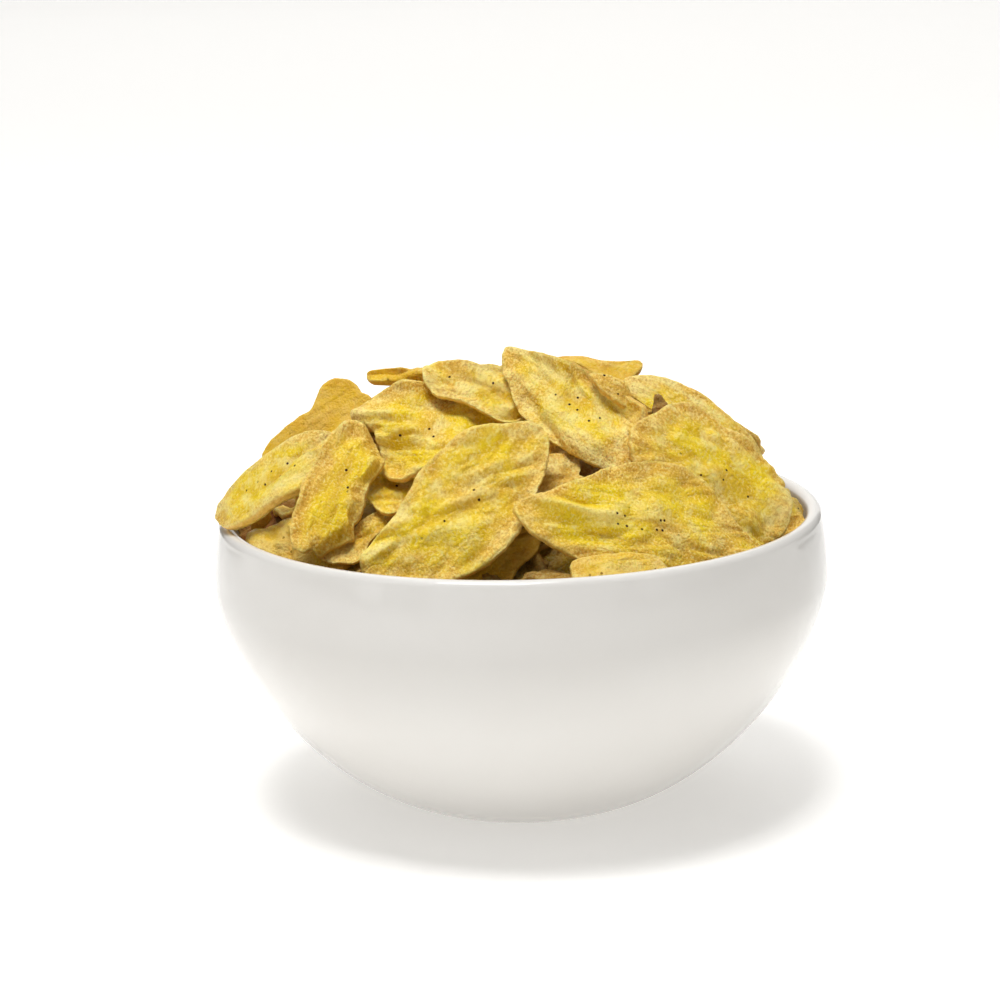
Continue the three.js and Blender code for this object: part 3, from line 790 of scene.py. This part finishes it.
# what isn't as usual about a slice, by the inputs of its node tree
SHOWN_SHAPES = {
    "slice_front_curl": {"Near Curl": -0.9, "Far Curl": -0.4, "Gold And Shade": 0.3, "Crease": 0.0006, "Dry": 0.08},
    "slice_front_right": {"Wave": 0.0012, "Tone": 0.04, "Dry": -0.04},
    "slice_left_standing": {
        "Pleat": 0.0007, "Ragged": 0.0008, "Near Lip": -0.003, "Tone": -0.02, "Dry": -0.1,
    },
    "slice_front_left": {"Wave": 0.0012, "Near Lip": 0.001, "Thickness": 0.0026},
    "slice_top_flap": {"Near Curl": 0.5, "Crease": 0.0005, "Wave": 0.0006, "Ragged": 0.001, "Tone": -0.1},
    "slice_top": {"Far Curl": 0.5, "Dry": 0.06},
    "slice_top_left": {"Near Lip": 0.0035, "From Curl": 0.0, "To Curl": 0.0, "Tone": 0.1, "Dry": 0.1},
    "slice_on_rim": {"Crease": 0.0012, "Wave": 0.0002, "Thickness": 0.003, "Ragged": 0.0003, "Dry": 0.03},
    "slice_middle_left": {"Wave": 0.0014, "Pleat": 0.0008, "Near Lip": 0.002, "Thickness": 0.0026},
    "slice_middle_broken": {"Ragged": 0.002, "Pleat": 0.001, "Tone": -0.2, "Scorch And Shade": 0.15},
    "slice_front_low": {"Ragged": 0.0012, "Tone": -0.2, "Scorch And Shade": 0.65, "Wave": 0.0005, "Pleat": 0.001},
    "slice_front_under": {"Gold And Shade": 0.7, "Scorch And Shade": 0.2},
    "slice_right_rim": {"Ragged": 0.0012, "Tone": -0.1},
    "slice_right_torn": {"Ragged": 0.0012, "Scorch And Shade": 0.85, "Pleat": 0.0015},
    "slice_left_low": {"Ragged": 0.001},
    "slice_left_edge": {"Gold And Shade": 0.6, "Scorch And Shade": 0.1},
    # painted shade: this slice deep under the left rim is darkened all over
    "slice_left_deep": {"Scorch And Shade": 1.0},
    "slice_left_rim": {"Thickness": 0.003, "Gold And Shade": 0.4, "Dry": 0.1, "Tone": 0.1},
    "slice_left_skyline": {"Gold And Shade": 0.7, "Pleat": 0.0001, "Crease": 0.0004, "Tone": 0.2, "Dry": 0.1},
    "slice_stick": {"Gold And Shade": 0.5, "Thickness": 0.0036, "Wave": 0.0005, "Pleat": 0.0001, "Tone": 0.1},
    "slice_right_skyline": {"Tone": -0.03, "Pleat": 0.0001, "Crease": 0.0003, "Wave": 0.0005},
    "slice_top_right_edge": {"Gold And Shade": 0.5, "Pleat": 0.0001, "Crease": 0.0004, "Wave": 0.0004},
}
OVER_RIM = {"slice_on_rim"}
SHOWN_FINENESS = (200, 20)
SHOWN_TONE = 0.06  # how far chance takes a slice's tone either way


def shown_slices():
    """Every slice that shows, each a piece, pressed under those before it."""
    for index, (name, (start, end, lean, outline)) in enumerate(SHOWN_SLICES.items()):
        start, end = np.array(start), np.array(end)
        values = {"Seed": float(index + 1), "Tone": SHOWN_TONE * wobble(index, 9)}
        values.update(SHOWN_SHAPES.get(name, {}))
        mesh = slice_mesh(name, outline, values, SHOWN_FINENESS, start, end, lean)
        push = BACK if lean > STEEP else -slice_axes(start, end, lean)[2]
        settle(mesh, push, walls=name not in OVER_RIM)
        piece(name, mesh, BANANA, "banana_chips")


# ---------------------------------------------------------------- the rest of the heap

HEAP_RADIUS = 70
HEAP_TOP = 108
DOME_SHAPE = 2.2  # exponents: a flat top that falls away to the rim
DOME_FALL = 0.7


def heap_height(radius):
    """Height of the heap's outer face at a distance from the axis, in mm."""
    rim = (LIP_HEIGHT + LIP_RADIUS) / MM
    return rim + (HEAP_TOP - rim) * max(0.0, 1 - (radius / HEAP_RADIUS) ** DOME_SHAPE) ** DOME_FALL


def slice_on_heap(azimuth, radius, lift, heading, tip, length):
    """Tips and lean (mm, degrees) of a slice that lies on the heap: turned by heading out of the level line
    round the heap, and tipped out of it."""
    outward = np.array((math.cos(math.radians(azimuth)), math.sin(math.radians(azimuth)), 0.0))
    downhill = outward + np.array((0, 0, heap_height(radius + 0.5) - heap_height(radius - 0.5)))
    downhill /= np.linalg.norm(downhill)
    level = np.cross((0, 0, 1), outward)
    out = np.cross(downhill, level)
    turn = math.radians(heading)
    along = level * math.cos(turn) + np.cross(out, level) * math.sin(turn)
    middle = outward * radius + np.array((0, 0, heap_height(radius) + lift))
    start, end = middle - along * length / 2, middle + along * length / 2
    _, across, face = slice_axes(start, end, 0)
    return start, end, math.degrees(math.atan2(-out @ across, out @ face)) + tip


# rings of slices from the rim up: how many, distance from the axis (mm), first and last azimuth, lift (mm)
FAR_RINGS = (
    (8, 54, 36, 184, -5),
    (6, 40, 36, 170, -5),
    (3, 20, 40, 150, -4),
)
UNDER_RINGS = (
    (13, 61, 12, 348, -17),
    (14, 59, 0, 336, -11),
    (11, 46, 10, 340, -9),
    (7, 28, 5, 320, -8),
    (3, 8, 0, 240, -8),
)
RING_FINENESS = (80, 10)
OUTLINE_POINTS = 12
USUAL_LENGTH, USUAL_WIDTH = 46, 25
# how far chance takes a slice either way (mm, degrees, radians)
CHANCE = {
    "azimuth": 5,
    "radius": 3,
    "lift": 1.2,
    "heading": 55,
    "tip": 14,
    "length": 7,
    "width": 3,
    "end curl": 0.35,
    "side curl": 0.3,
    "twist": 0.2,
    "tone": 0.06,
}


def chance_outline(seed, length, width):
    """An outline that is between an oval and a rounded lozenge, a little uneven all round."""
    outline = []
    for i in range(OUTLINE_POINTS):
        angle = math.pi + 2 * math.pi * i / OUTLINE_POINTS
        c, s = math.cos(angle), math.sin(angle)
        power = 2.1 + 0.5 * wobble(seed, 8 if c < 0 else 9)
        out = (abs(c) ** power + abs(s) ** power) ** (-1 / power) * (1 + 0.08 * wobble(seed, 20 + i))
        outline.append((length / 2 * (1 + c * out), width / 2 * s * out))
    return outline


def ring_slices(name, rings, first_seed, scorch_and_shade):
    """Slices strewn in rings, as one piece."""
    heap = bmesh.new()
    seed = first_seed
    for count, radius, first, last, lift in rings:
        for i in range(count):
            seed += 1
            length = USUAL_LENGTH + CHANCE["length"] * wobble(seed, 6)
            width = USUAL_WIDTH + CHANCE["width"] * wobble(seed, 7)
            start, end, lean = slice_on_heap(
                first + (last - first) * i / (count - 1) + CHANCE["azimuth"] * wobble(seed, 1),
                radius + CHANCE["radius"] * wobble(seed, 2),
                lift + CHANCE["lift"] * wobble(seed, 3),
                CHANCE["heading"] * wobble(seed, 4),
                CHANCE["tip"] * wobble(seed, 5),
                length,
            )
            values = {
                "From Curl": CHANCE["end curl"] * wobble(seed, 10),
                "To Curl": CHANCE["end curl"] * wobble(seed, 11),
                "Near Curl": CHANCE["side curl"] * wobble(seed, 12),
                "Far Curl": CHANCE["side curl"] * wobble(seed, 13),
                "Twist": CHANCE["twist"] * wobble(seed, 14),
                "Seed": float(seed),
                "Tone": CHANCE["tone"] * wobble(seed, 15),
                "Scorch And Shade": scorch_and_shade,
            }
            outline = chance_outline(seed, length, width)
            mesh = slice_mesh(name, outline, values, RING_FINENESS, start, end, lean)
            settle(mesh, -slice_axes(start, end, lean)[2])
            heap.from_mesh(mesh)
            bpy.data.meshes.remove(mesh)
    piece(name, heap, BANANA, "banana_chips")


CORE_RADIUS = 56
CORE_INSET = 16  # mm under the heap's outer face, where no slice is lower
CORE_GAP = 2.5  # mm between it and the slices
CORE_LOW = 46  # mm, the height at which it starts
CORE_FOOT = 0.9  # its share of the radius at that height
CORE_DENT = 0.7  # mm, half the depth of its dents
CORE_SEGMENTS = 96
CORE_RINGS = 30


def heap_core():
    """The middle of the heap, dark with painted shade: a lumpy dome that stays under every slice and clear of
    the bowl's wall.
    """
    core = bmesh.new()
    profile = [(CORE_RADIUS * CORE_FOOT, CORE_LOW)]
    for i in range(CORE_RINGS):
        radius = CORE_RADIUS * math.sqrt(1 - i / CORE_RINGS)
        profile.append((radius, heap_height(radius) - CORE_INSET))
    profile.append((0, heap_height(0) - CORE_INSET))
    middle = Vector((0, 0, CORE_LOW)) * MM
    rings = []
    for row, (radius, height) in enumerate(profile):
        ring = []
        for i in range(CORE_SEGMENTS if radius else 1):
            angle = 2 * math.pi * i / CORE_SEGMENTS
            ray = Vector((radius * math.cos(angle), radius * math.sin(angle), height - CORE_LOW)) * MM
            hits = [faces.ray_cast(middle, ray)[3] for faces, _, _ in settled[1:]]
            room = min([ray.length] + [distance - CORE_GAP * MM for distance in hits if distance])
            dent = CORE_DENT * MM * (1 + wobble(row * CORE_SEGMENTS + i, 31))
            ring.append(core.verts.new(middle + ray.normalized() * (room - dent)))
        rings.append(ring)
    top = rings.pop()[0]
    low = core.verts.new(middle)
    for i in range(CORE_SEGMENTS):
        j = (i + 1) % CORE_SEGMENTS
        core.faces.new((low, rings[0][j], rings[0][i]))
        core.faces.new((top, rings[-1][i], rings[-1][j]))
        for below, above in zip(rings, rings[1:]):
            core.faces.new((below[i], below[j], above[j], above[i]))
    piece("heap_core", core, SHADE_CRUMB, "banana_chips")


# ---------------------------------------------------------------- floor and light


SWEEP_HALF = 6.0  # metres: half the width of the floor, and how far it comes forward
SWEEP_BACK = 5.0
SWEEP_RADIUS = 1.5  # of the curve where the floor turns up into the backdrop
SWEEP_TOP = 5.0
SWEEP_STEPS = 16
SWEEP_PALE = "#f6f5f3"
SOFT_WHITE = "#fbfaf8"
VELVET_BLACK = "#101010"
FLAG_WIDTH = 0.4  # metres
FLAG_LOW, FLAG_TOP = 0.005, 0.6
FLAG_BACK = 0.35  # how far behind the bowl's axis it stands
FLAG_SIDE = 0.42  # and how far to the side


def floor():
    """A pale floor, lit a little from below, that sweeps up into a backdrop a long way behind."""
    sheet = bmesh.new()
    outline = [(-SWEEP_HALF, 0.0), (SWEEP_BACK - SWEEP_RADIUS, 0.0)]
    for i in range(1, SWEEP_STEPS + 1):
        angle = i / SWEEP_STEPS * math.pi / 2
        up = SWEEP_RADIUS - SWEEP_RADIUS * math.cos(angle)
        outline.append((SWEEP_BACK - SWEEP_RADIUS + SWEEP_RADIUS * math.sin(angle), up))
    outline.append((SWEEP_BACK, SWEEP_TOP))
    rows = [[sheet.verts.new((x, y, z)) for x in (-SWEEP_HALF, SWEEP_HALF)] for y, z in outline]
    for near, far in zip(rows, rows[1:]):
        sheet.faces.new((near[0], near[1], far[1], far[0]))
    mesh = bpy.data.meshes.new("studio_floor")
    sheet.to_mesh(mesh)
    sheet.free()
    mesh.shade_smooth()
    material, tree, shader = surface("pale_translucent_sweep")
    shader.inputs["Base Color"].default_value = linear(SWEEP_PALE)
    shader.inputs["Roughness"].default_value = 0.8
    shader.inputs["Emission Color"].default_value = linear(SOFT_WHITE)
    shader.inputs["Emission Strength"].default_value = 0.32
    mesh.materials.append(material)
    made = bpy.data.objects.new("studio_floor", mesh)
    bpy.context.collection.objects.link(made)


def soft_box(name, place, size, watts):
    """A rectangular soft light that points at the bowl."""
    data = bpy.data.lights.new(name, "AREA")
    data.shape = "RECTANGLE"
    data.size, data.size_y = size
    data.energy = watts
    lamp = bpy.data.objects.new(name, data)
    bpy.context.collection.objects.link(lamp)
    aim = (Vector((0, 0, 0.06)) - Vector(place)).to_track_quat("-Z", "Y")
    lamp.matrix_world = Matrix.Translation(place) @ aim.to_matrix().to_4x4()
    return lamp


def velvet():
    """Black velvet that takes in nearly all light."""
    material, tree, shader = surface("black_velvet")
    shader.inputs["Base Color"].default_value = linear(VELVET_BLACK)
    shader.inputs["Roughness"].default_value = 1.0
    return material


def flag(name, x, material):
    """A black card behind the bowl and to one side, which darkens what the glaze mirrors along that edge."""
    left, right = x - FLAG_WIDTH / 2, x + FLAG_WIDTH / 2
    outline = ((left, FLAG_LOW), (right, FLAG_LOW), (right, FLAG_TOP), (left, FLAG_TOP))
    sheet = bmesh.new()
    sheet.faces.new([sheet.verts.new((across, FLAG_BACK, up)) for across, up in outline])
    mesh = bpy.data.meshes.new(name)
    sheet.to_mesh(mesh)
    sheet.free()
    mesh.materials.append(material)
    made = bpy.data.objects.new(name, mesh)
    bpy.context.collection.objects.link(made)
    made.visible_camera = False


def lights():
    """Soft light from above and in front, two narrow windows, and a wide box over the backdrop."""
    soft_box("key_softbox", (-0.15, -0.28, 1.45), (0.6, 0.5), 17)
    soft_box("top_softbox", (0.0, 0.2, 1.7), (1.4, 1.2), 5)
    soft_box("left_window", (-1.0, -0.7, 0.5), (0.2, 0.9), 0.6)
    soft_box("right_window", (1.0, -0.9, 0.5), (0.2, 0.9), 0.3)
    soft_box("low_fill", (0, -1.3, 0.12), (1.6, 0.2), 0.4)
    backdrop = soft_box("backdrop_softbox", (0, 2.6, 2.6), (4, 2.5), 36)
    backdrop.matrix_world = Matrix.Translation((0, 2.6, 2.6))
    world = bpy.data.worlds.new("studio")
    bpy.context.scene.world = world
    world.use_nodes = True
    world.node_tree.nodes["Background"].inputs["Color"].default_value = linear(SOFT_WHITE)
    world.node_tree.nodes["Background"].inputs["Strength"].default_value = 0.2


# ---------------------------------------------------------------- the whole

camera()
bowl()
shown_slices()
ring_slices("slices_far_side", FAR_RINGS, 100, 0.0)
# the slices underneath are darkened with painted shade
ring_slices("slices_underneath", UNDER_RINGS, 200, 0.65)
heap_core()
floor()
black_velvet = velvet()
flag("left_flag", -FLAG_SIDE, black_velvet)
flag("right_flag", FLAG_SIDE, black_velvet)
lights()
bpy.context.scene.view_settings.view_transform = "Standard"
